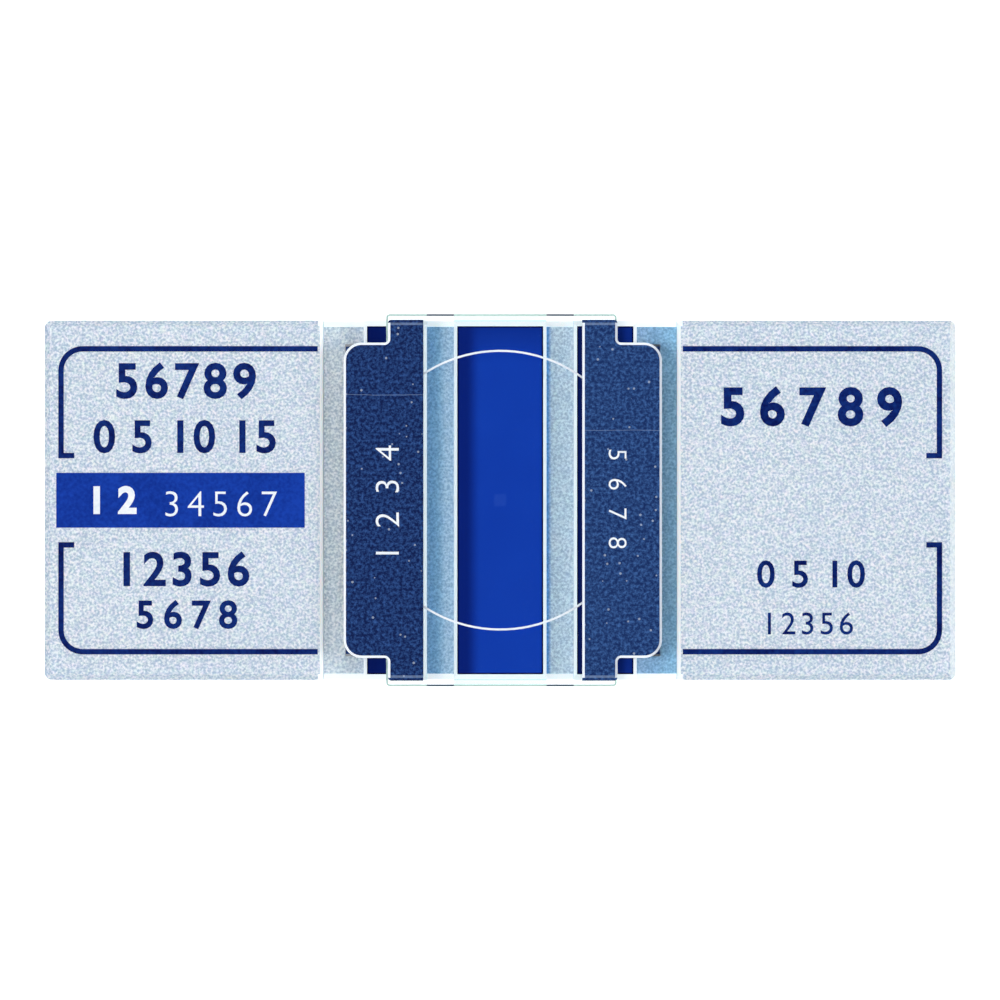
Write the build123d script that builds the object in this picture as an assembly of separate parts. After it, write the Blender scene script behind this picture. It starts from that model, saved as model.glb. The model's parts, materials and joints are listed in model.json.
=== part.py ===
from build123d import *

import math
import os

# Counting chamber on a thick glass slide, with a cover glass held by two hinged clip plates.
# X runs along the slide, Y across it, Z up. The origin is the middle of the underside.

# Base slab
slab_length = 76.0
slab_width = 30.0
slab_height = 5.0
slab_corner_radius = 0.6
rim_bevel = 0.5
base_bevel = 0.3

# Milled middle of the slab and the lands on it, from the centre outwards
channel_depth = 1.8
platform_width = 7.72
moat_width = 2.26
land_width = 5.26
outer_groove_width = 3.37
edge_chamfer = 0.28
# Space between the counting platform and the cover glass
chamber_depth = 0.1

# Enamel lines and number panel, fired flush into the label areas
enamel_depth = 0.1
frame_line_width = 0.45
frame_corner_radius = 1.8
frame_end_margin = 1.4
frame_side_margin = 2.38
frame_step_margin = 0.18
frame_gap = 7.44
frame_foot_length = 1.1
panel_width = 4.57
panel_end_margin = 1.0
panel_step_margin = 1.54

# Cover glass and the white centring ring in its top face
# How far the cover glass reaches over each support land
cover_seat = 3.48
cover_length = 31.0
cover_thickness = 0.5
cover_corner_radius = 0.3
cover_edge_chamfer = 0.1
cover_shift = 0.1
ring_diameter = 23.2
ring_line_width = 0.17
ring_depth = 0.08
ring_shift = 0.84

# Clip plates: the lip presses the cover glass, the wing lies over the outer groove
plate_thickness = 1.0
lip_width = 2.93
lip_setback = 0.28
wing_notch = 1.9
wing_overhang = 0.86
wing_corner_radius = 1.5
notch_radius = 0.3
plate_edge_chamfer = 0.2
# The right clip sits a little further out than the left one
right_clip_shift = 0.42

# Hinge of each clip: two lugs under the wing, a pin, and a rail with two knuckles
pin_radius = 0.35
pin_running_clearance = 0.05
pin_press_clearance = 0.01
pin_end_chamfer = 0.08
lug_wall = 0.35
lug_thickness = 1.0
lug_inset = 0.3
hinge_gap = 0.08
knuckle_wall = 0.35
knuckle_thickness = 1.3
knuckle_gap = 0.2
rail_thickness = 0.3
rail_inset = 0.06

# Torsion springs, one beside each knuckle
wire_radius = 0.12
wire_sides = 6
spring_bore_clearance = 0.13
spring_gap = 0.2
spring_turns = 2
spring_pitch = 0.27
leg_inset = 0.15
leg_clearance = 0.02

# Levels and places that follow from the sizes above
floor_z = slab_height - channel_depth
platform_height = channel_depth - chamber_depth
land_inner_x = platform_width / 2 + moat_width
land_outer_x = land_inner_x + land_width
label_inner_x = land_outer_x + outer_groove_width
cover_width = 2 * (land_inner_x + cover_seat)
plate_z = slab_height + cover_thickness
rail_top_z = floor_z + rail_thickness
hinge_z = (rail_top_z + plate_z) / 2
hinge_rise = hinge_z - rail_top_z
hinge_drop = plate_z - hinge_z
lug_radius = pin_radius + lug_wall
knuckle_radius = pin_radius + pin_running_clearance + knuckle_wall
hinge_x = land_outer_x + hinge_gap + lug_radius
wing_length = slab_width - 2 * wing_notch
lug_outer_y = wing_length / 2 - lug_inset
knuckle_outer_y = lug_outer_y - lug_thickness - knuckle_gap
spring_outer_y = knuckle_outer_y - knuckle_thickness - spring_gap
coil_radius = pin_radius + spring_bore_clearance + wire_radius

SIDES = {"left": -1, "right": 1}
CLIP_SHIFTS = {"left": 0.0, "right": right_clip_shift}


def block(x_low, x_high, y_low, y_high, z_low, z_high):
    """A box between two corners."""
    size = (x_high - x_low, y_high - y_low, z_high - z_low)
    centre = ((x_low + x_high) / 2, (y_low + y_high) / 2, (z_low + z_high) / 2)
    return Pos(*centre) * Box(*size)


def edges_at(shape, axis, value, along):
    """Edges parallel to one axis that lie at one place on another."""
    near = 1e-4
    return shape.edges().filter_by(along).filter_by_position(axis, value - near, value + near)


# Base slab

def groove_spans():
    """The two moats and the two outer grooves, as spans along X."""
    moat = (platform_width / 2, land_inner_x)
    outer_groove = (land_outer_x, label_inner_x)
    spans = [moat, outer_groove]
    return spans + [(-high, -low) for low, high in spans]


def groove_end_bevel(x_low, x_high, side):
    """The wedge ground off the end of a groove floor."""
    y_edge = side * slab_width / 2
    y_in = y_edge - side * rim_bevel
    corners = [(y_in, floor_z), (y_edge, floor_z), (y_edge, floor_z - rim_bevel)]
    wedge = make_face(Polyline(*[(0, y, z) for y, z in corners], close=True))
    return Pos(x_low, 0, 0) * extrude(wedge, x_high - x_low, dir=(1, 0, 0))


def base_slab(inlays):
    """Thick slide with a bevelled rim, a milled middle and recesses for the enamel."""
    slab = Pos(0, 0, slab_height / 2) * Box(slab_length, slab_width, slab_height)
    slab = fillet(slab.edges().filter_by(Axis.Z), slab_corner_radius)
    slab = chamfer(slab.faces().sort_by(Axis.Z)[-1].edges(), rim_bevel)
    slab = chamfer(slab.faces().sort_by(Axis.Z)[0].edges(), base_bevel)
    half_width = slab_width / 2
    slab -= block(-label_inner_x, label_inner_x, -half_width, half_width, floor_z, slab_height)
    steps = edges_at(slab, Axis.Z, slab_height, Axis.Y)
    slab = chamfer(steps.filter_by_position(Axis.X, -label_inner_x, label_inner_x), edge_chamfer)
    for x_low, x_high in groove_spans():
        for side in (-1, 1):
            slab -= groove_end_bevel(x_low, x_high, side)
    for inlay in inlays:
        slab -= inlay
    return slab


# Lands: polished strips across the slab, bonded to the milled floor

def land(x_middle, width, height):
    """One polished strip, bevelled like the slab's rim at its ends."""
    low, high = x_middle - width / 2, x_middle + width / 2
    strip = block(low, high, -slab_width / 2, slab_width / 2, floor_z, floor_z + height)
    strip = chamfer(strip.faces().sort_by(Axis.Z)[-1].edges().filter_by(Axis.X), rim_bevel)
    return chamfer(strip.faces().sort_by(Axis.Z)[-1].edges().filter_by(Axis.Y), edge_chamfer)


# Enamel in the label areas

def frame_line(x_side, y_side):
    """Bracket round one quarter of the label areas, with a short foot at its inner end."""
    x_step = label_inner_x + edge_chamfer + frame_step_margin
    x_end = slab_length / 2 - frame_end_margin
    y_line = slab_width / 2 - frame_side_margin
    y_foot = frame_gap / 2
    z_low = slab_height - enamel_depth
    points = [(x_step, y_line), (x_end, y_line), (x_end, y_foot - frame_line_width / 2)]
    path = FilletPolyline(*[(x_side * x, y_side * y) for x, y in points], radius=frame_corner_radius)
    line = trace(path, frame_line_width)
    foot_middle = x_side * (x_end - frame_foot_length / 2)
    line += Pos(foot_middle, y_side * y_foot) * Rectangle(frame_foot_length, frame_line_width)
    return Pos(0, 0, z_low) * extrude(line, enamel_depth)


def number_panel():
    """Flat enamel field in the left label area."""
    x_low = panel_end_margin - slab_length / 2
    x_high = -label_inner_x - panel_step_margin
    half_width = panel_width / 2
    z_low = slab_height - enamel_depth
    return block(x_low, x_high, -half_width, half_width, z_low, slab_height)


# Cover glass

def centring_ring():
    """White ring line, cut off where it runs past the cover glass's long edges."""
    middle = Pos(0, ring_shift, plate_z - ring_depth)
    outer = Cylinder(ring_diameter / 2 + ring_line_width / 2, ring_depth, align=ON_BASE)
    inner = Cylinder(ring_diameter / 2 - ring_line_width / 2, ring_depth, align=ON_BASE)
    half_width = cover_width / 2 - cover_edge_chamfer
    low, high = cover_shift - half_width, cover_shift + half_width
    window = block(low, high, -cover_length / 2, cover_length / 2, slab_height, plate_z)
    return (middle * (outer - inner)) & window


def cover_glass(ring):
    """Thin optical flat with lightly ground edges and a groove for the ring."""
    middle = Pos(cover_shift, 0, slab_height + cover_thickness / 2)
    glass = middle * Box(cover_width, cover_length, cover_thickness)
    glass = fillet(glass.edges().filter_by(Axis.Z), cover_corner_radius)
    glass = chamfer(glass.faces().sort_by(Axis.Z)[-1].edges(), cover_edge_chamfer)
    return glass - ring


# Clip pieces are drawn round the hinge axis, with X pointing away from the cover glass

def round_topped(radius, height, thickness, y_outer, bore_radius):
    """An eye round the hinge axis with a straight neck up (or down) to a given height."""
    profile = Circle(radius) + Pos(0, height / 2) * Rectangle(2 * radius, abs(height))
    profile -= Circle(bore_radius)
    upright = Plane(origin=(0, y_outer, 0), x_dir=(1, 0, 0), z_dir=(0, -1, 0))
    return extrude(upright * profile, thickness)


def both_ends(shape):
    """A piece and its mirror image at the other end of the hinge."""
    return [shape, mirror(shape, Plane.XZ)]


def clip_plate():
    """Stepped plate with two hinge lugs under its wing."""
    lip_inner = land_inner_x + lip_setback - hinge_x
    lip_outer = lip_inner + lip_width
    lip = Pos(lip_inner + lip_width / 2, 0) * Rectangle(lip_width, slab_width)
    wing_width = wing_overhang - lip_outer
    wing = Pos(lip_outer + wing_width / 2, 0) * Rectangle(wing_width, wing_length)
    outline = lip + wing
    corners = outline.vertices()
    wing_corners = corners.filter_by_position(Axis.X, wing_overhang - 0.01, wing_overhang + 0.01)
    outline = fillet(wing_corners, wing_corner_radius)
    corners = outline.vertices().filter_by_position(Axis.X, lip_outer - 0.01, lip_outer + 0.01)
    outline = fillet(corners, notch_radius)
    plate = Pos(0, 0, hinge_drop) * extrude(outline, plate_thickness)
    plate = chamfer(plate.faces().sort_by(Axis.Z)[-1].edges(), plate_edge_chamfer)
    bore = pin_radius + pin_press_clearance
    lug = round_topped(lug_radius, hinge_drop, lug_thickness, lug_outer_y, bore)
    for end in both_ends(lug):
        plate += end
    return plate


def hinge_pin():
    """Straight pin, pressed into the two lugs."""
    length = 2 * lug_outer_y
    pin = Rot(90, 0, 0) * Cylinder(pin_radius, length)
    return chamfer(pin.edges().filter_by(GeomType.CIRCLE), pin_end_chamfer)


def hinge_rail():
    """Strip on the groove floor with two knuckles that carry the pin."""
    x_low, x_high = -knuckle_radius, wing_overhang - rail_inset
    half_length = wing_length / 2 - rail_inset
    z_low, z_high = floor_z - hinge_z, rail_top_z - hinge_z
    rail = block(x_low, x_high, -half_length, half_length, z_low, z_high)
    bore = pin_radius + pin_running_clearance
    knuckle = round_topped(knuckle_radius, -hinge_rise, knuckle_thickness, knuckle_outer_y, bore)
    for end in both_ends(knuckle):
        rail += end
    return rail


def tangent_angle(x, z, side):
    """Where a straight leg that ends at (x, z) leaves the coil, as an angle round the axis."""
    return math.atan2(z, x) + side * math.acos(coil_radius / math.hypot(x, z))


def clip_spring():
    """Torsion spring: one leg stands on the rail, the other lifts the wing's outer edge."""
    x_low_tip = wing_overhang - rail_inset - leg_inset
    z_low_tip = wire_radius + leg_clearance - hinge_rise
    x_high_tip = wing_overhang - leg_inset
    z_high_tip = hinge_drop - wire_radius - leg_clearance
    low_angle = tangent_angle(x_low_tip, z_low_tip, -1)
    high_angle = tangent_angle(x_high_tip, z_high_tip, 1)
    turns = spring_turns + 1 - (high_angle - low_angle) / (2 * math.pi)
    y_high = spring_outer_y - wire_radius
    y_low = y_high - turns * spring_pitch
    coil_start = Plane(
        origin=(0, y_low, 0),
        x_dir=(math.cos(low_angle), 0, math.sin(low_angle)),
        z_dir=(0, 1, 0),
    )
    coil = coil_start * Helix(pitch=spring_pitch, height=y_high - y_low, radius=coil_radius)
    low_leg = Line((x_low_tip, y_low, z_low_tip), coil @ 0)
    high_leg = Line(coil @ 1, (x_high_tip, y_high, z_high_tip))
    section = Plane(origin=low_leg @ 0, z_dir=low_leg % 0) * RegularPolygon(wire_radius, wire_sides)
    return sweep(section, path=Wire([low_leg, coil, high_leg]))


def on_side(shape, name):
    """A clip piece carried to its place at the left or the right of the chamber."""
    placed = Pos(hinge_x + CLIP_SHIFTS[name], 0, hinge_z) * shape
    return placed if SIDES[name] > 0 else mirror(placed, Plane.YZ)


ON_BASE = (Align.CENTER, Align.CENTER, Align.MIN)

pieces = {}
for name, x_side in SIDES.items():
    pieces[name + "_upper_frame_line"] = frame_line(x_side, 1)
    pieces[name + "_lower_frame_line"] = frame_line(x_side, -1)
pieces["number_panel"] = number_panel()
pieces["base_slab"] = base_slab(list(pieces.values()))

pieces["counting_platform"] = land(0, platform_width, platform_height)
land_middle_x = land_inner_x + land_width / 2
for name, x_side in SIDES.items():
    pieces[name + "_support_land"] = land(x_side * land_middle_x, land_width, channel_depth)

pieces["centring_ring"] = centring_ring()
pieces["cover_glass"] = cover_glass(pieces["centring_ring"])

plate, pin, rail = clip_plate(), hinge_pin(), hinge_rail()
back_spring, front_spring = both_ends(clip_spring())
for name in SIDES:
    pieces[name + "_clip_plate"] = on_side(plate, name)
    pieces[name + "_hinge_pin"] = on_side(pin, name)
    pieces[name + "_hinge_rail"] = on_side(rail, name)
    pieces[name + "_back_spring"] = on_side(back_spring, name)
    pieces[name + "_front_spring"] = on_side(front_spring, name)

os.makedirs("parts", exist_ok=True)
for name, shape in pieces.items():
    export_step(shape, "parts/" + name + ".step")
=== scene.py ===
import json
import math

import bpy
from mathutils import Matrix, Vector

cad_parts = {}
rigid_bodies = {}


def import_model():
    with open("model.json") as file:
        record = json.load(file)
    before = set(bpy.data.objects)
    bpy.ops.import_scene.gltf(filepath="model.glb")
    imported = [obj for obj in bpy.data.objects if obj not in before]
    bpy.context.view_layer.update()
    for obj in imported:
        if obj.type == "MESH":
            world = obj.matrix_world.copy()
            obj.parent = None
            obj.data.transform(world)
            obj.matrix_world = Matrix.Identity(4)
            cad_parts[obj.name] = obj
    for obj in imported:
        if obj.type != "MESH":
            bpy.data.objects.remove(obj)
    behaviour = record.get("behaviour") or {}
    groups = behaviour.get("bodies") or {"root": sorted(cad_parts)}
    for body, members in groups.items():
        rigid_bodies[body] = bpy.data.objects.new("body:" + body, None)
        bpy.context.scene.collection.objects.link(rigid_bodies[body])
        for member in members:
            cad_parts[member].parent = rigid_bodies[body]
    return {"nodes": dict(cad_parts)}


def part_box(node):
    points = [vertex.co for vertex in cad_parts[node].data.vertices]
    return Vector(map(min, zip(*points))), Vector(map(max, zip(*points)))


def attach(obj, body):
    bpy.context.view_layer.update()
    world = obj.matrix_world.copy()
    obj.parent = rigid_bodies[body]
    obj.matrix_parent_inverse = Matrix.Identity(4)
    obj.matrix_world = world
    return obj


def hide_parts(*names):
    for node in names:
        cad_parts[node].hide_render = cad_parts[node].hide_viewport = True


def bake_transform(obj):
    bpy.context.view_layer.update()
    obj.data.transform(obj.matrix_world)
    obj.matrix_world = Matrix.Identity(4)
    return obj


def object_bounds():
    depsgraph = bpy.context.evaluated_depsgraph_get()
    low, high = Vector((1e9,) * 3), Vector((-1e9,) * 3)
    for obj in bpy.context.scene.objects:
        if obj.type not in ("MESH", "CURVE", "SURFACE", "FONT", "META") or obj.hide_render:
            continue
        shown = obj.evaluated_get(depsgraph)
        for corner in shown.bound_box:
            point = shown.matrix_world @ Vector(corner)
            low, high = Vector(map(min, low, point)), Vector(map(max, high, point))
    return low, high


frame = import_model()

cad_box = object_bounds()
bpy.ops.object.select_all(action="DESELECT")


# Base slab
# A slide of soda-lime glass, 5 mm thick. Every face is ground with fine grit, so it scatters light
# and shows a pale grain. The middle is milled down to a floor, and the rim is bevelled on a wheel.

def mm(value):
    """Millimetres as metres."""
    return value / 1000


def cells(size):
    """The scale of a texture whose features are this many millimetres apart."""
    return 1000 / size


def paint(code):
    """An sRGB hex colour as linear RGBA."""
    linear = []
    for i in (0, 2, 4):
        channel = int(code[i:i + 2], 16) / 255
        linear.append(channel / 12.92 if channel <= 0.04045 else ((channel + 0.055) / 1.055) ** 2.4)
    return (*linear, 1.0)


def start_finish(name):
    """A new material: itself, its tree and its surface shader."""
    material = bpy.data.materials.new(name)
    material.use_nodes = True
    return material, material.node_tree, material.node_tree.nodes["Principled BSDF"]


def set_inputs(tree, node, inputs):
    """Gives each named input its value, or the socket that feeds it."""
    for name, value in inputs.items():
        if isinstance(value, bpy.types.NodeSocket):
            tree.links.new(value, node.inputs[name])
        else:
            node.inputs[name].default_value = value


def add(tree, kind, inputs=None, **settings):
    """One shader node, with its settings, its values and the sockets that feed it."""
    made = tree.nodes.new("ShaderNode" + kind)
    for name, value in settings.items():
        setattr(made, name, value)
    set_inputs(tree, made, inputs or {})
    return made


def dress(finish, *nodes):
    """Gives CAD nodes their finish."""
    for name in nodes:
        for place in frame["nodes"][name].material_slots:
            place.material = finish


# Sockets of a colour mix
FACTOR, COLOUR_A, COLOUR_B, MIXED = 0, 6, 7, 2

slab_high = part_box("base_slab")[1]
land_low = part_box("right_support_land")[0]
platform_low, platform_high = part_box("counting_platform")
label_z, floor_z = slab_high.z, land_low.z

# The upward part of the direction that a 45 degree bevel faces, and how far it may be off on a bevel
# and on an upright wall
bevel_lean, bevel_slack, wall_slack = 0.707, 0.1, 0.3

# How strongly bevels glow: painted light, standing in on the glass for light that has run inside it and
# leaves at a bevel, and on the clip plates for their bright bevels
bevel_painted_glow = 0.22

# The milled floor's painted shade and painted blue light from left to right, at places in millimetres: a
# groove, the two moats with the platform between them, and a groove that lies in the shade of its plate.
# The moat beside the left plate, a band beside the platform and the right groove are painted bluer as
# shade
floor_reach = 15.2
floor_shade_tints = {
    -floor_reach: "F4FCFF", -7.0: "F4FCFF", -5.9: "92C4E6", -5.2: "9AC8E4", -4.5: "BAD4E6", 0.0: "BAD4E6",
    4.0: "66B2F0", 4.25: "E4F4FC", 6.5: "ECF8FF", 12.8: "A0CCEC", floor_reach: "A0D2EA"}


def ground_glass():
    """Ground soda-lime glass: a fine pale grain, calmer on the sides. The milled floor is painted bluer
    where light would reach it through the blue lands and darker in the shade of the plates (painted shade
    and painted light); the slopes that face right carry a painted highlight, and the bevels round the
    floor are painted white with a painted glow."""
    grit_size, fleck_size, patch_size = 0.21, 0.5, 7.0
    fleck_share, level_lean, right_lean = 0.8, 0.9, 0.3
    material, tree, glass = start_finish("ground_soda_lime_glass")
    place = add(tree, "TexCoord")
    axes = add(tree, "SeparateXYZ", {0: place.outputs["Object"]})
    facing = add(tree, "SeparateXYZ", {0: place.outputs["Normal"]})

    # Grain of the label areas, with faint green and violet flecks and paler patches
    grit = add(tree, "TexNoise", {
        "Vector": place.outputs["Object"], "Scale": cells(grit_size), "Detail": 2.0, "Roughness": 0.6})
    facets = add(tree, "MapRange", {"Value": grit.outputs[0], "From Min": 0.36, "From Max": 0.64})
    body = add(tree, "Mix", {
        FACTOR: facets.outputs[0], COLOUR_A: paint("B4C6D8"), COLOUR_B: paint("FFFFFF")}, data_type="RGBA")
    fleck = add(tree, "TexNoise", {
        "Vector": place.outputs["Object"], "Scale": cells(fleck_size), "Detail": 1.0})
    hue = add(tree, "MapRange", {"Value": fleck.outputs[0], "From Min": 0.35, "From Max": 0.65})
    fleck_tint = add(tree, "Mix", {
        FACTOR: hue.outputs[0], COLOUR_A: paint("F4FCFA"), COLOUR_B: paint("FCF9FF")}, data_type="RGBA")
    flecked = add(tree, "Mix", {
        FACTOR: fleck_share, COLOUR_A: body.outputs[MIXED], COLOUR_B: fleck_tint.outputs[MIXED]},
        data_type="RGBA", blend_type="MULTIPLY")
    patch = add(tree, "TexNoise", {"Vector": place.outputs["Object"], "Scale": cells(patch_size)})
    patch_tint = add(tree, "Mix", {
        FACTOR: patch.outputs[0], COLOUR_A: paint("F4F7FA"), COLOUR_B: paint("FFFFFF")}, data_type="RGBA")
    clouded = add(tree, "Mix", {
        FACTOR: 1.0, COLOUR_A: flecked.outputs[MIXED], COLOUR_B: patch_tint.outputs[MIXED]},
        data_type="RGBA", blend_type="MULTIPLY")

    # Calmer grain on the sides
    upright = add(tree, "Math", {0: facing.outputs["Z"], 1: 0.0, 2: wall_slack}, operation="COMPARE")
    wall_grain = add(tree, "Mix", {
        FACTOR: facets.outputs[0], COLOUR_A: paint("C4DAE4"), COLOUR_B: paint("DDEDF3")}, data_type="RGBA")
    walled = add(tree, "Mix", {
        FACTOR: upright.outputs[0], COLOUR_A: clouded.outputs[MIXED], COLOUR_B: wall_grain.outputs[MIXED]},
        data_type="RGBA")

    # Milled floor with painted shade and painted blue light, set by place across the slab
    across = add(tree, "MapRange", {
        "Value": axes.outputs["X"], "From Min": -mm(floor_reach), "From Max": mm(floor_reach)})
    painted_floor_shade = add(tree, "ValToRGB", {0: across.outputs[0]})
    stops = painted_floor_shade.color_ramp.elements
    for x in list(floor_shade_tints)[1:-1]:
        stops.new((x + floor_reach) / (2 * floor_reach))
    for stop, code in zip(stops, floor_shade_tints.values()):
        stop.color = paint(code)
    floor_grain = add(tree, "Mix", {
        FACTOR: facets.outputs[0], COLOUR_A: paint("BECAD6"), COLOUR_B: paint("FFFFFF")}, data_type="RGBA")
    shaded_floor = add(tree, "Mix", {
        FACTOR: 1.0, COLOUR_A: painted_floor_shade.outputs[0], COLOUR_B: floor_grain.outputs[MIXED]},
        data_type="RGBA", blend_type="MULTIPLY")
    depth = add(tree, "Math", {0: axes.outputs["Z"], 1: floor_z, 2: mm(0.1)}, operation="COMPARE")
    level = add(tree, "Math", {0: facing.outputs["Z"], 1: level_lean}, operation="GREATER_THAN")
    floor = add(tree, "Math", {0: depth.outputs[0], 1: level.outputs[0]}, operation="MULTIPLY")
    floored = add(tree, "Mix", {
        FACTOR: floor.outputs[0], COLOUR_A: walled.outputs[MIXED], COLOUR_B: shaded_floor.outputs[MIXED]},
        data_type="RGBA")

    # Painted highlight: white bevels round the floor with a painted glow, and a pale rim on the slopes
    # that face right
    aside = add(tree, "Math", {0: axes.outputs["X"]}, operation="ABSOLUTE")
    middle = add(tree, "Math", {0: aside.outputs[0], 1: mm(floor_reach)}, operation="LESS_THAN")
    slope = add(tree, "Math", {
        0: facing.outputs["Z"], 1: bevel_lean, 2: bevel_slack}, operation="COMPARE")
    bevel = add(tree, "Math", {0: slope.outputs[0], 1: middle.outputs[0]}, operation="MULTIPLY")
    rightward = add(tree, "Math", {0: facing.outputs["X"], 1: right_lean}, operation="GREATER_THAN")
    rim_highlight = add(tree, "Math", {0: slope.outputs[0], 1: rightward.outputs[0]}, operation="MULTIPLY")
    rim_highlight_grain = add(tree, "Mix", {
        FACTOR: facets.outputs[0], COLOUR_A: paint("DCE6EC"), COLOUR_B: paint("F4FAFC")}, data_type="RGBA")
    rim_highlighted = add(tree, "Mix", {
        FACTOR: rim_highlight.outputs[0], COLOUR_A: floored.outputs[MIXED], COLOUR_B: rim_highlight_grain.outputs[MIXED]},
        data_type="RGBA")
    bevel_highlighted = add(tree, "Mix", {
        FACTOR: bevel.outputs[0], COLOUR_A: rim_highlighted.outputs[MIXED], COLOUR_B: paint("F8FFFF")},
        data_type="RGBA")
    glow = add(tree, "Mix", {
        FACTOR: bevel.outputs[0], COLOUR_A: paint("000000"), COLOUR_B: paint("F4FCFF")}, data_type="RGBA")
    relief = add(tree, "Bump", {"Height": grit.outputs[0], "Distance": mm(0.03), "Strength": 0.5})
    set_inputs(tree, glass, {
        "Base Color": bevel_highlighted.outputs[MIXED], "Emission Color": glow.outputs[MIXED],
        "Emission Strength": bevel_painted_glow, "Normal": relief.outputs[0], "Roughness": 0.6, "IOR": 1.52,
        "Specular IOR Level": 0.3, "Subsurface Weight": 0.5, "Subsurface Radius": (0.5, 0.8, 1.1),
        "Subsurface Scale": mm(1.2)})
    return material


dress(ground_glass(), "base_slab")


# Lands
# Three strips of cobalt-blue optical glass across the slide, polished on top, with ground bevels. The
# middle one is the counting platform, and the outer two carry the cover glass 0.1 mm above it.

land_bevel, end_bevel = mm(0.28), mm(0.5)


def cobalt_glass(name, shaded_blue, clear, low, high, painted_shade_x, end_shade):
    """Polished blue glass with painted shade: darker along one edge and towards its far end. It has a
    near black line just inside the bevels, white bevels with a painted highlight and glow, and pale ground
    walls below."""
    line_width, cord_size, grit_size = mm(0.13), 4.0, 0.25
    shade_start, shade_full = mm(3.6), mm(0.6)
    material, tree, glass = start_finish(name)
    place = add(tree, "TexCoord")
    axes = add(tree, "SeparateXYZ", {0: place.outputs["Object"]})
    facing = add(tree, "SeparateXYZ", {0: place.outputs["Normal"]})

    # Polished top, with painted shade towards one edge and the far end, and faint cords in the glass
    side_shade = add(tree, "MapRange", {
        "Value": axes.outputs["X"], "From Min": painted_shade_x[0], "From Max": painted_shade_x[1]},
        interpolation_type="SMOOTHSTEP")
    body = add(tree, "Mix", {
        FACTOR: side_shade.outputs[0], COLOUR_A: paint(shaded_blue), COLOUR_B: paint(clear)}, data_type="RGBA")
    end = add(tree, "MapRange", {
        "Value": axes.outputs["Y"], "From Min": high.y - shade_start, "From Max": high.y - shade_full,
        "To Max": end_shade})
    ended = add(tree, "Mix", {
        FACTOR: end.outputs[0], COLOUR_A: body.outputs[MIXED], COLOUR_B: paint(shaded_blue)}, data_type="RGBA")
    cord = add(tree, "TexNoise", {
        "Vector": place.outputs["Object"], "Scale": cells(cord_size), "Detail": 1.0})
    cord_tint = add(tree, "Mix", {
        FACTOR: cord.outputs[0], COLOUR_A: paint("E8EAF2"), COLOUR_B: paint("FFFFFF")}, data_type="RGBA")
    veiled = add(tree, "Mix", {
        FACTOR: 1.0, COLOUR_A: ended.outputs[MIXED], COLOUR_B: cord_tint.outputs[MIXED]},
        data_type="RGBA", blend_type="MULTIPLY")

    # Dark line just inside the bevels
    centred = add(tree, "Math", {0: axes.outputs["X"], 1: (low.x + high.x) / 2}, operation="SUBTRACT")
    across = add(tree, "Math", {0: centred.outputs[0]}, operation="ABSOLUTE")
    border_x = add(tree, "Math", {
        0: across.outputs[0], 1: (high.x - low.x) / 2 - land_bevel - line_width}, operation="GREATER_THAN")
    along = add(tree, "Math", {0: axes.outputs["Y"]}, operation="ABSOLUTE")
    border_y = add(tree, "Math", {
        0: along.outputs[0], 1: high.y - end_bevel - line_width}, operation="GREATER_THAN")
    border = add(tree, "Math", {0: border_x.outputs[0], 1: border_y.outputs[0]}, operation="MAXIMUM")
    lined = add(tree, "Mix", {
        FACTOR: border.outputs[0], COLOUR_A: veiled.outputs[MIXED], COLOUR_B: paint("040C44")},
        data_type="RGBA")

    # Ground walls, and white bevels with a painted highlight and painted glow
    grit = add(tree, "TexNoise", {
        "Vector": place.outputs["Object"], "Scale": cells(grit_size), "Detail": 2.0})
    upright = add(tree, "Math", {0: facing.outputs["Z"], 1: 0.0, 2: wall_slack}, operation="COMPARE")
    wall_grain = add(tree, "Mix", {
        FACTOR: grit.outputs[0], COLOUR_A: paint("9CB6D8"), COLOUR_B: paint("C4D6EA")}, data_type="RGBA")
    walled = add(tree, "Mix", {
        FACTOR: upright.outputs[0], COLOUR_A: lined.outputs[MIXED], COLOUR_B: wall_grain.outputs[MIXED]},
        data_type="RGBA")
    slope = add(tree, "Math", {
        0: facing.outputs["Z"], 1: bevel_lean, 2: bevel_slack}, operation="COMPARE")
    bevel_highlight_grain = add(tree, "Mix", {
        FACTOR: grit.outputs[0], COLOUR_A: paint("ECF8FC"), COLOUR_B: paint("FFFFFF")}, data_type="RGBA")
    bevel_highlighted = add(tree, "Mix", {
        FACTOR: slope.outputs[0], COLOUR_A: walled.outputs[MIXED], COLOUR_B: bevel_highlight_grain.outputs[MIXED]},
        data_type="RGBA")
    glow = add(tree, "Mix", {
        FACTOR: slope.outputs[0], COLOUR_A: paint("000000"), COLOUR_B: paint("F0FCFF")}, data_type="RGBA")
    ground = add(tree, "Math", {0: slope.outputs[0], 1: upright.outputs[0]}, operation="MAXIMUM")
    gloss = add(tree, "MapRange", {"Value": ground.outputs[0], "To Min": 0.04, "To Max": 0.6})
    set_inputs(tree, glass, {
        "Base Color": bevel_highlighted.outputs[MIXED], "Emission Color": glow.outputs[MIXED],
        "Emission Strength": bevel_painted_glow, "Roughness": gloss.outputs[0], "IOR": 1.52})
    return material


dress(cobalt_glass("polished_platform_glass", "08247E", "1443B8", platform_low, platform_high,
                   (platform_low.x + mm(1.0), platform_low.x + mm(2.3)), 0.6), "counting_platform")
# The lands get darker blues than the platform: painted shade, as the clip plates lie over them
for side in ("left", "right"):
    low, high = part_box(side + "_support_land")
    dress(cobalt_glass(side + "_land_glass", "0A1E6A", "10318E", low, high, (low.x, high.x), 0.0),
          side + "_support_land")


# Counting ruling
# A square of 1 mm, ruled with a diamond at 0.05 mm steps in the middle of the platform. The lines are
# a few thousandths of a millimetre wide and left unfilled, so they only catch light.

ruling_side, ruling_step, ruling_line, ruling_depth = mm(1.0), mm(0.05), mm(0.004), mm(0.002)


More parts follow.
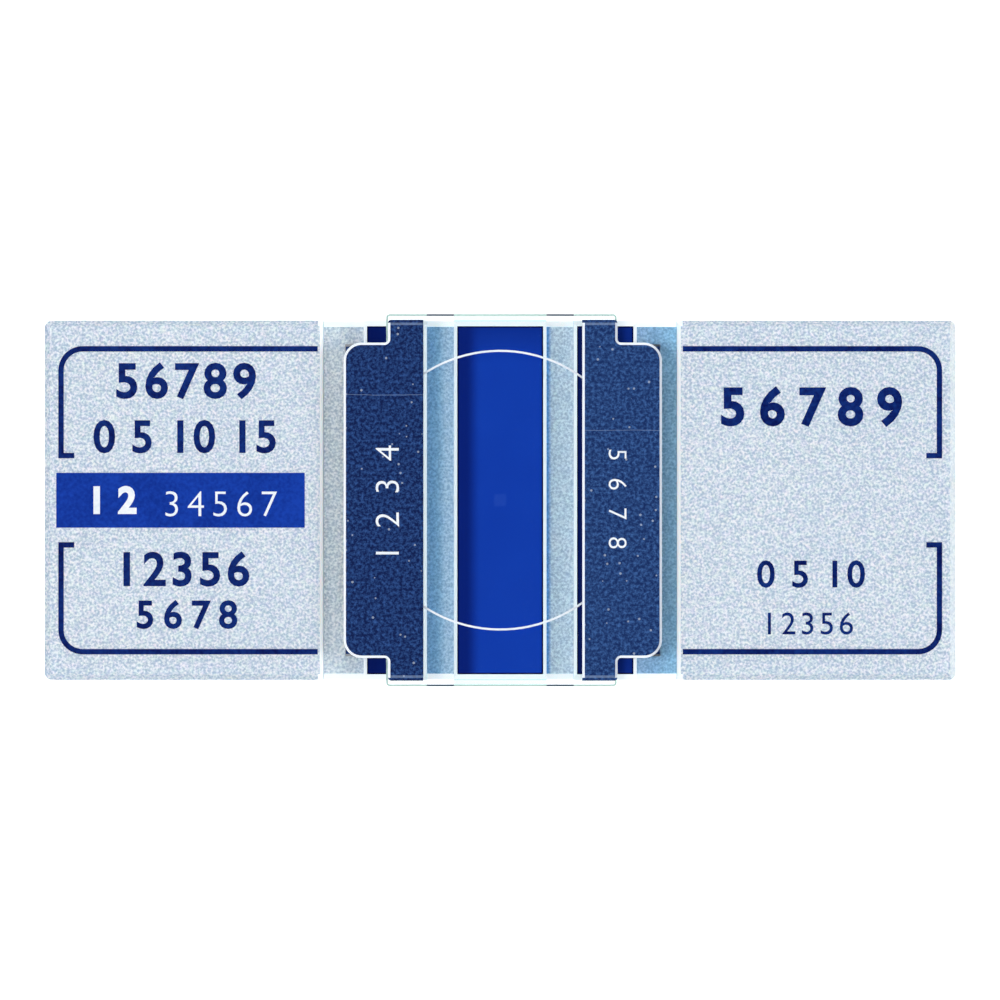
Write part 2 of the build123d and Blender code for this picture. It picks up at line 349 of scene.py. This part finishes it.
def ruled_line():
    """The bright broken glass in a diamond-ruled line."""
    chip_size = 0.02
    material, tree, glass = start_finish("diamond_ruled_glass")
    place = add(tree, "TexCoord")
    chips = add(tree, "TexNoise", {"Vector": place.outputs["Object"], "Scale": cells(chip_size)})
    body = add(tree, "Mix", {
        FACTOR: chips.outputs[0], COLOUR_A: paint("1E4CBC"), COLOUR_B: paint("3C68CC")}, data_type="RGBA")
    set_inputs(tree, glass, {"Base Color": body.outputs[MIXED], "Roughness": 0.3, "IOR": 1.52})
    return material


bpy.ops.mesh.primitive_cube_add(size=1, location=(-ruling_side / 2, 0, platform_high.z))
ruling = bpy.context.object
ruling.name = "counting_ruling"
ruling.scale = (ruling_line, ruling_side + ruling_line, ruling_depth)
bpy.ops.object.transform_apply(location=True, scale=True)
rows = ruling.modifiers.new("rows", "ARRAY")
rows.count = round(ruling_side / ruling_step) + 1
rows.use_relative_offset = False
rows.use_constant_offset = True
rows.constant_offset_displace = (ruling_step, 0, 0)
bpy.ops.object.modifier_apply(modifier="rows")
bpy.ops.object.duplicate()
crossing = bpy.context.object
crossing.rotation_euler.z = math.radians(90)
bpy.ops.object.transform_apply(rotation=True)
ruling.select_set(True)
bpy.context.view_layer.objects.active = ruling
bpy.ops.object.join()
ruling.data.materials.append(ruled_line())
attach(ruling, "chamber")
bpy.ops.object.select_all(action="DESELECT")


# Enamel lines and number panel
# Ceramic ink, screen-printed into shallow recesses of the label areas and fired, so it lies flush.
# It is opaque and nearly matt, and the grit of the glass shows through it as pinholes.

def fired_enamel(name, dark, light):
    """Fired ceramic ink: an even colour with a faint cloud and pinholes from the grit."""
    pinhole_size, cloud_size = 0.3, 3.0
    pinhole_share, cloud_share = 0.6, 0.4
    material, tree, enamel = start_finish(name)
    place = add(tree, "TexCoord")
    grit = add(tree, "TexNoise", {
        "Vector": place.outputs["Object"], "Scale": cells(pinhole_size), "Detail": 2.0})
    cloud = add(tree, "TexNoise", {"Vector": place.outputs["Object"], "Scale": cells(cloud_size)})
    mottle = add(tree, "Math", {0: grit.outputs[0], 1: pinhole_share}, operation="MULTIPLY")
    both = add(tree, "Math", {
        0: cloud.outputs[0], 1: cloud_share, 2: mottle.outputs[0]}, operation="MULTIPLY_ADD")
    spread = add(tree, "MapRange", {"Value": both.outputs[0], "From Min": 0.35, "From Max": 0.65})
    body = add(tree, "Mix", {
        FACTOR: spread.outputs[0], COLOUR_A: paint(dark), COLOUR_B: paint(light)}, data_type="RGBA")
    relief = add(tree, "Bump", {"Height": grit.outputs[0], "Distance": mm(0.01), "Strength": 0.3})
    set_inputs(tree, enamel, {
        "Base Color": body.outputs[MIXED], "Normal": relief.outputs[0], "Roughness": 0.5,
        "Specular IOR Level": 0.04})
    return material


navy_enamel = fired_enamel("fired_navy_enamel", "020E50", "10307A")
blue_enamel = fired_enamel("fired_blue_enamel", "0A308E", "1540AC")
white_enamel = fired_enamel("fired_white_enamel", "E9F1F8", "FFFFFF")
for side in ("left", "right"):
    dress(navy_enamel, side + "_upper_frame_line", side + "_lower_frame_line")
dress(blue_enamel, "number_panel")


# Numerals
# Plain counting numerals in the places where such a chamber is marked: fired ink on the label areas
# and the panel, and filled engraving on the two clip plates.

ink_proud, ink_sunk = mm(0.008), mm(0.02)


def numerals(name, text, x_span, y_span, z, weight, finish, body, quarter_turns=0):
    """A row of numerals that fills the span, as one thin plate of ink."""
    trial_spacing = 2.0
    bpy.ops.object.text_add()
    row = bpy.context.object
    row.name = name
    row.data.body = text
    row.data.offset = weight
    row.data.extrude = (ink_proud + ink_sunk) / 2
    row.data.resolution_u = 4
    width, height = x_span[1] - x_span[0], y_span[1] - y_span[0]
    if quarter_turns % 2:
        width, height = height, width
    bpy.context.view_layer.update()
    close = row.dimensions.x
    row.data.space_character = trial_spacing
    bpy.context.view_layer.update()
    growth = (row.dimensions.x - close) / (trial_spacing - 1)
    row.data.space_character = 1 + (row.dimensions.y * width / height - close) / growth
    bpy.ops.object.convert(target="MESH")
    bpy.ops.object.mode_set(mode="EDIT")
    bpy.ops.mesh.select_all(action="SELECT")
    bpy.ops.mesh.remove_doubles(threshold=mm(0.002))
    bpy.ops.mesh.normals_make_consistent(inside=False)
    bpy.ops.object.mode_set(mode="OBJECT")
    bpy.ops.object.origin_set(type="ORIGIN_GEOMETRY", center="BOUNDS")
    row.scale = (mm(width) / row.dimensions.x, mm(height) / row.dimensions.y, 1)
    row.rotation_euler.z = quarter_turns * math.pi / 2
    row.location = (mm(sum(x_span) / 2), mm(sum(y_span) / 2), z + (ink_proud - ink_sunk) / 2)
    bpy.ops.object.transform_apply(location=True, rotation=True, scale=True)
    row.data.materials.append(finish)
    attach(row, body)
    bpy.ops.object.select_all(action="DESELECT")


# Each row's numerals, its span across and along in millimetres, and the weight of its strokes
printed = {
    "upper_label_numerals": ("56789", (-32.0, -20.35), (8.4, 11.5), 0.024),
    "upper_scale_numerals": ("0 5 10 15", (-33.9, -18.7), (3.9, 6.7), 0.02),
    "lower_label_numerals": ("12356", (-31.4, -20.9), (-7.2, -4.25), 0.022),
    "lower_scale_numerals": ("5678", (-30.3, -21.9), (-10.75, -8.3), 0.02),
    "right_label_numerals": ("56789", (18.4, 33.5), (6.1, 9.5), 0.03),
    "right_scale_numerals": ("0 5 10", (21.4, 30.4), (-7.3, -5.0), 0.015),
    "right_foot_numerals": ("12356", (22.3, 29.4), (-11.2, -9.35), 0.0),
}
for name, (text, x_span, y_span, weight) in printed.items():
    numerals(name, text, x_span, y_span, label_z, weight, navy_enamel, "chamber")
numerals("panel_bold_numerals", "12", (-33.9, -30.3), (-1.15, 1.2), label_z, 0.04, white_enamel,
         "chamber")
numerals("panel_thin_numerals", "3 4 5 6 7", (-27.9, -18.6), (-1.35, 0.75), label_z, -0.012, white_enamel,
         "chamber")

engraved_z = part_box("left_clip_plate")[1].z - mm(0.004)
numerals("left_clip_numerals", "1234", (-10.35, -8.4), (-4.5, 4.55), engraved_z, -0.01, white_enamel,
         "left_clip", quarter_turns=1)
numerals("right_clip_numerals", "5 6 7 8", (9.0, 10.5), (-4.0, 4.2), engraved_z, -0.01, white_enamel,
         "right_clip", quarter_turns=-1)


# Hinge rails and pins
# Stainless strip with two folded knuckles, cemented to the groove floor, and a drawn steel pin that
# is pressed into the clip plate's lugs and turns in the knuckles.

def drawn_steel(name, dark, light, grain_size, roughness):
    """Stainless steel with the fine lines of drawing or rolling along the hinge."""
    line_share, haze_spread = 0.04, 0.08
    material, tree, steel = start_finish(name)
    place = add(tree, "TexCoord")
    along = add(tree, "Mapping", {"Vector": place.outputs["Object"], "Scale": (1.0, line_share, 1.0)})
    grain = add(tree, "TexNoise", {
        "Vector": along.outputs[0], "Scale": cells(grain_size), "Detail": 3.0, "Roughness": 0.6})
    body = add(tree, "Mix", {
        FACTOR: grain.outputs[0], COLOUR_A: paint(dark), COLOUR_B: paint(light)}, data_type="RGBA")
    haze = add(tree, "MapRange", {
        "Value": grain.outputs[0], "To Min": roughness - haze_spread, "To Max": roughness + haze_spread})
    relief = add(tree, "Bump", {"Height": grain.outputs[0], "Distance": mm(0.005), "Strength": 0.4})
    set_inputs(tree, steel, {
        "Base Color": body.outputs[MIXED], "Roughness": haze.outputs[0], "Normal": relief.outputs[0],
        "Metallic": 1.0})
    return material


hinge_steel = drawn_steel("rolled_stainless_strip", "8C9094", "C6CACD", 0.08, 0.34)
pin_steel = drawn_steel("drawn_stainless_pin", "A6AAAE", "DDE0E2", 0.05, 0.22)
dress(hinge_steel, "left_hinge_rail", "right_hinge_rail")
dress(pin_steel, "left_hinge_pin", "right_hinge_pin")


# Torsion springs
# Round music wire of 0.24 mm, wound close round each pin. One leg stands on the rail and the other
# lifts the wing's outer edge, so the coil winds up as the clip opens.

wire_radius, coil_radius, spring_pitch, most_turns = mm(0.12), mm(0.6), mm(0.27), 3
tip_inset, foot_inset = mm(0.15), mm(0.06)
wire_sides, steps_per_turn = 12, 40


def spring_wire():
    """Patented spring wire: dark bright steel with draw lines."""
    mark_size = 0.1
    material, tree, steel = start_finish("drawn_music_wire")
    place = add(tree, "TexCoord")
    marks = add(tree, "TexNoise", {
        "Vector": place.outputs["Object"], "Scale": cells(mark_size), "Detail": 2.0})
    body = add(tree, "Mix", {
        FACTOR: marks.outputs[0], COLOUR_A: paint("6E7276"), COLOUR_B: paint("B9BDC2")}, data_type="RGBA")
    set_inputs(tree, steel, {"Base Color": body.outputs[MIXED], "Metallic": 1.0, "Roughness": 0.28})
    return material


def leg_angle(x, z, side):
    """Where a straight leg that ends at (x, z) leaves the coil, as an angle round the hinge axis."""
    return math.atan2(z, x) + side * math.acos(coil_radius / math.hypot(x, z))


def face_outwards():
    """Turns the faces of the piece being made outwards."""
    bpy.ops.object.mode_set(mode="EDIT")
    bpy.ops.mesh.select_all(action="SELECT")
    bpy.ops.mesh.normals_make_consistent(inside=False)
    bpy.ops.object.mode_set(mode="OBJECT")


# The ends of the two legs, from the hinge axis: the tip under the wing, and the foot a little further in
spring_low, spring_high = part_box("right_back_spring")
pin_low, pin_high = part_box("right_hinge_pin")
hinge_x, hinge_z = (pin_low.x + pin_high.x) / 2, (pin_low.z + pin_high.z) / 2
wing_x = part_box("right_clip_plate")[1].x
tip = Vector((wing_x - tip_inset - hinge_x, 0, spring_high.z - wire_radius - hinge_z))
foot = Vector((tip.x - foot_inset, 0, spring_low.z + wire_radius - hinge_z))
foot_angle, tip_angle = leg_angle(foot.x, foot.z, -1), leg_angle(tip.x, tip.z, 1)
turns = most_turns - (tip_angle - foot_angle) / (2 * math.pi)
coil_high = spring_high.y - wire_radius
coil_low = coil_high - turns * spring_pitch

bpy.ops.mesh.primitive_circle_add(
    vertices=wire_sides, radius=wire_radius,
    location=(hinge_x + coil_radius * math.cos(foot_angle), coil_low,
              hinge_z + coil_radius * math.sin(foot_angle)),
    rotation=(0, math.pi - foot_angle, 0))
spring = bpy.context.object
bpy.ops.object.transform_apply(location=True, rotation=True)
bpy.context.scene.cursor.location = (hinge_x, 0, hinge_z)
bpy.ops.object.origin_set(type="ORIGIN_CURSOR")
coil = spring.modifiers.new("coil", "SCREW")
coil.axis = "Y"
coil.angle = turns * 2 * math.pi
coil.screw_offset = turns * spring_pitch
coil.steps = coil.render_steps = round(turns * steps_per_turn)
bpy.ops.object.modifier_apply(modifier="coil")
last_ring = len(spring.data.vertices) - wire_sides
for first, angle, end in ((0, foot_angle, foot), (last_ring, tip_angle, tip)):
    start = Vector((coil_radius * math.cos(angle), 0, coil_radius * math.sin(angle)))
    bpy.ops.object.mode_set(mode="EDIT")
    bpy.ops.mesh.select_all(action="DESELECT")
    bpy.ops.mesh.select_mode(type="VERT")
    bpy.ops.object.mode_set(mode="OBJECT")
    for vertex in spring.data.vertices[first:first + wire_sides]:
        vertex.select = True
    bpy.ops.object.mode_set(mode="EDIT")
    bpy.ops.mesh.extrude_region_move(TRANSFORM_OT_translate={"value": tuple(end - start)})
    bpy.ops.mesh.edge_face_add()
    bpy.ops.object.mode_set(mode="OBJECT")
bpy.ops.object.transform_apply(location=True)
face_outwards()
bpy.ops.object.shade_smooth_by_angle(angle=math.radians(40))
spring.data.materials.append(spring_wire())

left_pin_low, left_pin_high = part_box("left_hinge_pin")
mirror_shift = hinge_x + (left_pin_low.x + left_pin_high.x) / 2
for side, x_turn, shift in (("left", -1, mirror_shift), ("right", 1, 0)):
    for end, y_turn in (("back", 1), ("front", -1)):
        bpy.ops.object.select_all(action="DESELECT")
        spring.select_set(True)
        bpy.context.view_layer.objects.active = spring
        bpy.ops.object.duplicate()
        piece = bpy.context.object
        piece.name = f"{side}_{end}_wire_spring"
        piece.scale = (x_turn, y_turn, 1)
        piece.location.x = shift
        bpy.ops.object.transform_apply(location=True, scale=True)
        face_outwards()
        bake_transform(piece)
        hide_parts(f"{side}_{end}_spring")
bpy.data.objects.remove(spring)
bpy.ops.object.select_all(action="DESELECT")


# Clip plates
# Blanked brass plates with a baked dark-blue coating over a sand-blasted ground. The coating takes
# the grain of the blasting, is worn through at the bevels and carries specks and hairline scratches.
# The bevels also carry a painted highlight and glow, and a painted highlight band lies inside the ends.

lip_bevel = mm(0.25)


def blasted_coating(name, dark, light, scratch_y, bright_bevel_x, right_facing_brightness):
    """Baked coating on blasted metal: dark blue with a paler grain. At the bevels up to bright_bevel_x it
    is worn and carries a painted highlight and glow, weaker on those that face right, and not at the two
    ends."""
    grain_size, speck_size, wander_size = 0.27, 1.0, 2.5
    speck_radius, speck_share = 0.1, 0.45
    scratch_bend, scratch_width, scratch_share = mm(0.25), mm(0.06), 0.35
    band_inset, band_width, band_share = mm(0.35), mm(0.2), 0.3
    end_inset, side_brightness = mm(0.25), 0.95
    end_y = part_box("left_clip_plate")[1].y
    material, tree, coating = start_finish(name)
    place = add(tree, "TexCoord")
    axes = add(tree, "SeparateXYZ", {0: place.outputs["Object"]})
    facing = add(tree, "SeparateXYZ", {0: place.outputs["Normal"]})

    # Grain of the blasting, with pale specks
    grain = add(tree, "TexNoise", {
        "Vector": place.outputs["Object"], "Scale": cells(grain_size), "Detail": 3.0, "Roughness": 0.7})
    spread = add(tree, "MapRange", {"Value": grain.outputs[0], "From Min": 0.42, "From Max": 0.72})
    body = add(tree, "Mix", {
        FACTOR: spread.outputs[0], COLOUR_A: paint(dark), COLOUR_B: paint(light)}, data_type="RGBA")
    speck = add(tree, "TexVoronoi", {"Vector": place.outputs["Object"], "Scale": cells(speck_size)})
    dots = add(tree, "Math", {0: speck.outputs["Distance"], 1: speck_radius}, operation="LESS_THAN")
    faint = add(tree, "Math", {0: dots.outputs[0], 1: speck_share}, operation="MULTIPLY")
    dotted = add(tree, "Mix", {
        FACTOR: faint.outputs[0], COLOUR_A: body.outputs[MIXED], COLOUR_B: paint("C9D4E2")},
        data_type="RGBA")

    # A hairline scratch across the plate, and a painted highlight band just inside the two ends
    wander = add(tree, "TexNoise", {"Vector": place.outputs["Object"], "Scale": cells(wander_size)})
    bend = add(tree, "Math", {
        0: wander.outputs[0], 1: scratch_bend, 2: axes.outputs["Y"]}, operation="MULTIPLY_ADD")
    scratch = add(tree, "Math", {
        0: bend.outputs[0], 1: scratch_y, 2: scratch_width / 2}, operation="COMPARE")
    hairline = add(tree, "Math", {0: scratch.outputs[0], 1: scratch_share}, operation="MULTIPLY")
    scratched = add(tree, "Mix", {
        FACTOR: hairline.outputs[0], COLOUR_A: dotted.outputs[MIXED], COLOUR_B: paint("8CA2C8")},
        data_type="RGBA")
    along = add(tree, "Math", {0: axes.outputs["Y"]}, operation="ABSOLUTE")
    end_highlight_band = add(tree, "Math", {
        0: along.outputs[0], 1: end_y - band_inset, 2: band_width / 2}, operation="COMPARE")
    pale = add(tree, "Math", {0: end_highlight_band.outputs[0], 1: band_share}, operation="MULTIPLY")
    banded = add(tree, "Mix", {
        FACTOR: pale.outputs[0], COLOUR_A: scratched.outputs[MIXED], COLOUR_B: paint("A6BCDA")},
        data_type="RGBA")

    # Wear and a painted highlight at the bevels, weaker on those that face right, with a painted glow
    slope = add(tree, "Math", {
        0: facing.outputs["Z"], 1: bevel_lean, 2: bevel_slack}, operation="COMPARE")
    inboard = add(tree, "Math", {0: along.outputs[0], 1: end_y - end_inset}, operation="LESS_THAN")
    reached = add(tree, "Math", {0: axes.outputs["X"], 1: bright_bevel_x}, operation="LESS_THAN")
    strength = add(tree, "MapRange", {
        "Value": facing.outputs["X"], "From Min": 0.1, "From Max": 0.6, "To Min": side_brightness,
        "To Max": right_facing_brightness})
    within = add(tree, "Math", {0: inboard.outputs[0], 1: reached.outputs[0]}, operation="MULTIPLY")
    sloped = add(tree, "Math", {0: within.outputs[0], 1: slope.outputs[0]}, operation="MULTIPLY")
    wear_and_highlight = add(tree, "Math", {0: sloped.outputs[0], 1: strength.outputs[0]}, operation="MULTIPLY")
    worn_and_lit = add(tree, "Mix", {
        FACTOR: wear_and_highlight.outputs[0], COLOUR_A: banded.outputs[MIXED], COLOUR_B: paint("F8FCFF")},
        data_type="RGBA")
    glow = add(tree, "Mix", {
        FACTOR: wear_and_highlight.outputs[0], COLOUR_A: paint("000000"), COLOUR_B: paint("F4FAFF")}, data_type="RGBA")
    relief = add(tree, "Bump", {"Height": grain.outputs[0], "Distance": mm(0.03), "Strength": 0.5})
    set_inputs(tree, coating, {
        "Base Color": worn_and_lit.outputs[MIXED], "Emission Color": glow.outputs[MIXED],
        "Emission Strength": bevel_painted_glow, "Normal": relief.outputs[0], "Roughness": 0.55,
        "Specular IOR Level": 0.06})
    return material


# Painted bevel highlight: full on the left plate short of its lip's inner bevel, dimmer on the right
# plate's right-facing bevels
dress(blasted_coating("left_baked_coating", "081C4C", "345A9A", mm(8.9),
                      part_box("left_clip_plate")[1].x - lip_bevel, 0.95), "left_clip_plate")
dress(blasted_coating("right_baked_coating", "132C5E", "4169A6", mm(5.95),
                      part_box("right_clip_plate")[1].x + lip_bevel, 0.6), "right_clip_plate")


# Cover glass
# An optical flat of clear borosilicate glass, 0.5 mm thick, with lightly ground edges that carry a
# painted pale-green glow and painted grey shade over the moats. A white enamel ring is fired into its top
# face.

glass_low, glass_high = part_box("cover_glass")
seat_gap, plate_gap = mm(0.012), mm(0.006)
pane_corner, pane_arris = mm(0.3), mm(0.15)


def clear_borosilicate():
    """Clear optical glass, which lets lamp light straight through to what lies under it. Its ends over the
    platform carry a painted pale-green glow, for light that runs inside it past the platform."""
    smear_size, end_overlap = 6.0, mm(0.1)
    material, tree, glass = start_finish("polished_borosilicate_glass")
    place = add(tree, "TexCoord")
    axes = add(tree, "SeparateXYZ", {0: place.outputs["Object"]})
    smear = add(tree, "TexNoise", {"Vector": place.outputs["Object"], "Scale": cells(smear_size)})
    haze = add(tree, "MapRange", {"Value": smear.outputs[0], "To Min": 0.0, "To Max": 0.03})
    along = add(tree, "Math", {0: axes.outputs["Y"]}, operation="ABSOLUTE")
    end = add(tree, "Math", {0: along.outputs[0], 1: slab_high.y - end_overlap}, operation="GREATER_THAN")
    aside = add(tree, "Math", {0: axes.outputs["X"]}, operation="ABSOLUTE")
    over = add(tree, "Math", {0: aside.outputs[0], 1: platform_high.x}, operation="LESS_THAN")
    both = add(tree, "Math", {0: end.outputs[0], 1: over.outputs[0]}, operation="MULTIPLY")
    end_glow_tint = add(tree, "Mix", {
        FACTOR: both.outputs[0], COLOUR_A: paint("F7FCFC"), COLOUR_B: paint("DAF0EE")}, data_type="RGBA")
    set_inputs(tree, glass, {
        "Base Color": end_glow_tint.outputs[MIXED], "Roughness": haze.outputs[0], "Transmission Weight": 1.0,
        "IOR": 1.47})
    rays = add(tree, "LightPath")
    clear = add(tree, "BsdfTransparent", {"Color": paint("F7FCFC")})
    soft = add(tree, "Math", {
        0: rays.outputs["Is Diffuse Ray"], 1: rays.outputs["Is Shadow Ray"]}, operation="MAXIMUM")
    lit = add(tree, "MixShader", {0: soft.outputs[0], 1: glass.outputs[0], 2: clear.outputs[0]})
    set_inputs(tree, tree.nodes["Material Output"], {"Surface": lit.outputs[0]})
    return material


def ground_edge():
    """The pane's edge: finely ground, with a painted pale-green glow for the light that runs inside the
    glass, and painted grey shade over the two moats, where no land throws light up into it."""
    grit_size = 0.2
    moat_x, moat_reach = (platform_high.x + land_low.x) / 2, (land_low.x - platform_high.x) / 2
    material, tree, glass = start_finish("ground_borosilicate_edge")
    place = add(tree, "TexCoord")
    axes = add(tree, "SeparateXYZ", {0: place.outputs["Object"]})
    grit = add(tree, "TexNoise", {
        "Vector": place.outputs["Object"], "Scale": cells(grit_size), "Detail": 2.0})
    green_glow = add(tree, "Mix", {
        FACTOR: grit.outputs[0], COLOUR_A: paint("A8CCC0"), COLOUR_B: paint("D6EEE4")}, data_type="RGBA")
    aside = add(tree, "Math", {0: axes.outputs["X"]}, operation="ABSOLUTE")
    moat_shade = add(tree, "Math", {0: aside.outputs[0], 1: moat_x, 2: moat_reach}, operation="COMPARE")
    body = add(tree, "Mix", {
        FACTOR: moat_shade.outputs[0], COLOUR_A: green_glow.outputs[MIXED], COLOUR_B: paint("3E5260")},
        data_type="RGBA")
    set_inputs(tree, glass, {"Base Color": body.outputs[MIXED], "Roughness": 0.45, "IOR": 1.47})
    return material


pane_under, pane_top = glass_low.z + seat_gap, glass_high.z - plate_gap
bpy.ops.mesh.primitive_cube_add(
    size=1, location=((glass_low.x + glass_high.x) / 2, 0, (pane_under + pane_top) / 2))
pane = bpy.context.object
pane.name = "cover_pane"
pane.scale = (glass_high.x - glass_low.x, glass_high.y - glass_low.y, pane_top - pane_under)
bpy.ops.object.transform_apply(location=True, scale=True)
bpy.ops.object.mode_set(mode="EDIT")
bpy.ops.mesh.select_mode(type="EDGE")
bpy.ops.mesh.select_all(action="DESELECT")
bpy.ops.object.mode_set(mode="OBJECT")
for edge in pane.data.edges:
    ends = [pane.data.vertices[i].co for i in edge.vertices]
    edge.select = abs(ends[0].z - ends[1].z) > mm(0.1)
bpy.ops.object.mode_set(mode="EDIT")
bpy.ops.mesh.bevel(offset=pane_corner, segments=4)
bpy.ops.mesh.select_all(action="DESELECT")
bpy.ops.object.mode_set(mode="OBJECT")
for edge in pane.data.edges:
    ends = [pane.data.vertices[i].co for i in edge.vertices]
    edge.select = abs(ends[0].z - ends[1].z) < mm(0.01)
bpy.ops.object.mode_set(mode="EDIT")
bpy.ops.mesh.bevel(offset=pane_arris, segments=1)
bpy.ops.object.mode_set(mode="OBJECT")
pane.data.materials.append(clear_borosilicate())
pane.data.materials.append(ground_edge())
for face in pane.data.polygons:
    face.material_index = 0 if abs(face.normal.z) > 0.9 else 1
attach(pane, "cover")
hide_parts("cover_glass")
dress(white_enamel, "centring_ring")
bpy.ops.object.select_all(action="DESELECT")


# Table, lamps and camera
# A white sweep under a pale sky, with soft lamps from the left, the right, the front and the back.
# The camera looks straight down on the chamber from about half a metre.

board_size, board_drop = 4.0, mm(0.02)


def white_sweep():
    """Matt white board that shows white to the lens and still takes a soft shadow."""
    pulp_size, lift_share = 2.0, 0.55
    material, tree, board = start_finish("matt_white_board")
    place = add(tree, "TexCoord")
    pulp = add(tree, "TexNoise", {"Vector": place.outputs["Object"], "Scale": cells(pulp_size)})
    body = add(tree, "Mix", {
        FACTOR: pulp.outputs[0], COLOUR_A: paint("F4F4F4"), COLOUR_B: paint("FAFAFA")}, data_type="RGBA")
    set_inputs(tree, board, {"Base Color": body.outputs[MIXED], "Roughness": 0.9})
    rays = add(tree, "LightPath")
    seen = add(tree, "Math", {
        0: rays.outputs["Is Camera Ray"], 1: rays.outputs["Is Glossy Ray"]}, operation="MAXIMUM")
    through = add(tree, "Math", {
        0: seen.outputs[0], 1: rays.outputs["Is Transmission Ray"]}, operation="MAXIMUM")
    lift = add(tree, "Math", {0: through.outputs[0], 1: lift_share}, operation="MULTIPLY")
    glow = add(tree, "Emission", {"Color": paint("FFFFFF"), "Strength": lift.outputs[0]})
    both = add(tree, "AddShader", {0: board.outputs[0], 1: glow.outputs[0]})
    set_inputs(tree, tree.nodes["Material Output"], {"Surface": both.outputs[0]})
    return material


bpy.ops.mesh.primitive_plane_add(size=board_size, location=(0, 0, cad_box[0].z - board_drop))
board = bpy.context.object
board.name = "white_board"
board.data.materials.append(white_sweep())

# The sky dims towards the zenith, where polished glass would mirror it into the lens
sky = bpy.data.worlds.new("pale_sky")
bpy.context.scene.world = sky
sky.use_nodes = True
sky_tree = sky.node_tree
toward = add(sky_tree, "TexCoord")
height = add(sky_tree, "SeparateXYZ", {0: toward.outputs["Generated"]})
dim = add(sky_tree, "MapRange", {
    "Value": height.outputs["Z"], "From Min": 0.6, "From Max": 0.97, "To Min": 0.39, "To Max": 0.02})
air = add(sky_tree, "Background", {"Color": paint("E6F1FF"), "Strength": dim.outputs[0]})
white = add(sky_tree, "Background", {"Color": paint("FFFFFF"), "Strength": 1.0})
sight = add(sky_tree, "LightPath")
shown = add(sky_tree, "MixShader", {
    0: sight.outputs["Is Camera Ray"], 1: air.outputs[0], 2: white.outputs[0]})
set_inputs(sky_tree, sky_tree.nodes["World Output"], {"Surface": shown.outputs[0]})

# Ground glass lets most lamp light pass, so all lamps but a part of the key are stopped by metal alone
metal = bpy.data.collections.new("metal_clips")
for name, part in frame["nodes"].items():
    if "clip_plate" in name or "hinge" in name:
        metal.objects.link(part)
for part in bpy.context.scene.objects:
    if part.name.endswith("wire_spring"):
        metal.objects.link(part)


def lamp(name, turn, height, size, energy, blockers=None):
    """A round soft lamp that faces the chamber, at a turn from the right and an angle above the table."""
    distance = 0.75
    round_axis, tilt = math.radians(turn), math.radians(height)
    level = distance * math.cos(tilt)
    bpy.ops.object.light_add(
        type="AREA", rotation=(0, math.pi / 2 - tilt, round_axis),
        location=(level * math.cos(round_axis), level * math.sin(round_axis), distance * math.sin(tilt)))
    made = bpy.context.object
    made.name = name
    made.data.shape = "DISK"
    made.data.size = size
    made.data.energy = energy
    if blockers:
        made.light_linking.blocker_collection = blockers


lamp("key", 180, 66, 0.25, 1.7, metal)
lamp("key_on_all", 180, 66, 0.25, 0.5)
lamp("far_edge_light", 0, 34, 0.3, 1.7, metal)
lamp("front_light", 270, 45, 0.3, 1.0, metal)
lamp("back_light", 90, 45, 0.3, 1.0, metal)

lens, sensor, frame_width = 200, 36, mm(83.33)
picture_offset = mm(0.02)
bpy.ops.object.camera_add(
    location=(-picture_offset, picture_offset, label_z + frame_width * lens / sensor), rotation=(0, 0, 0))
camera = bpy.context.object
camera.data.lens = lens
camera.data.sensor_width = sensor
bpy.context.scene.camera = camera
bpy.context.scene.view_settings.view_transform = "Standard"
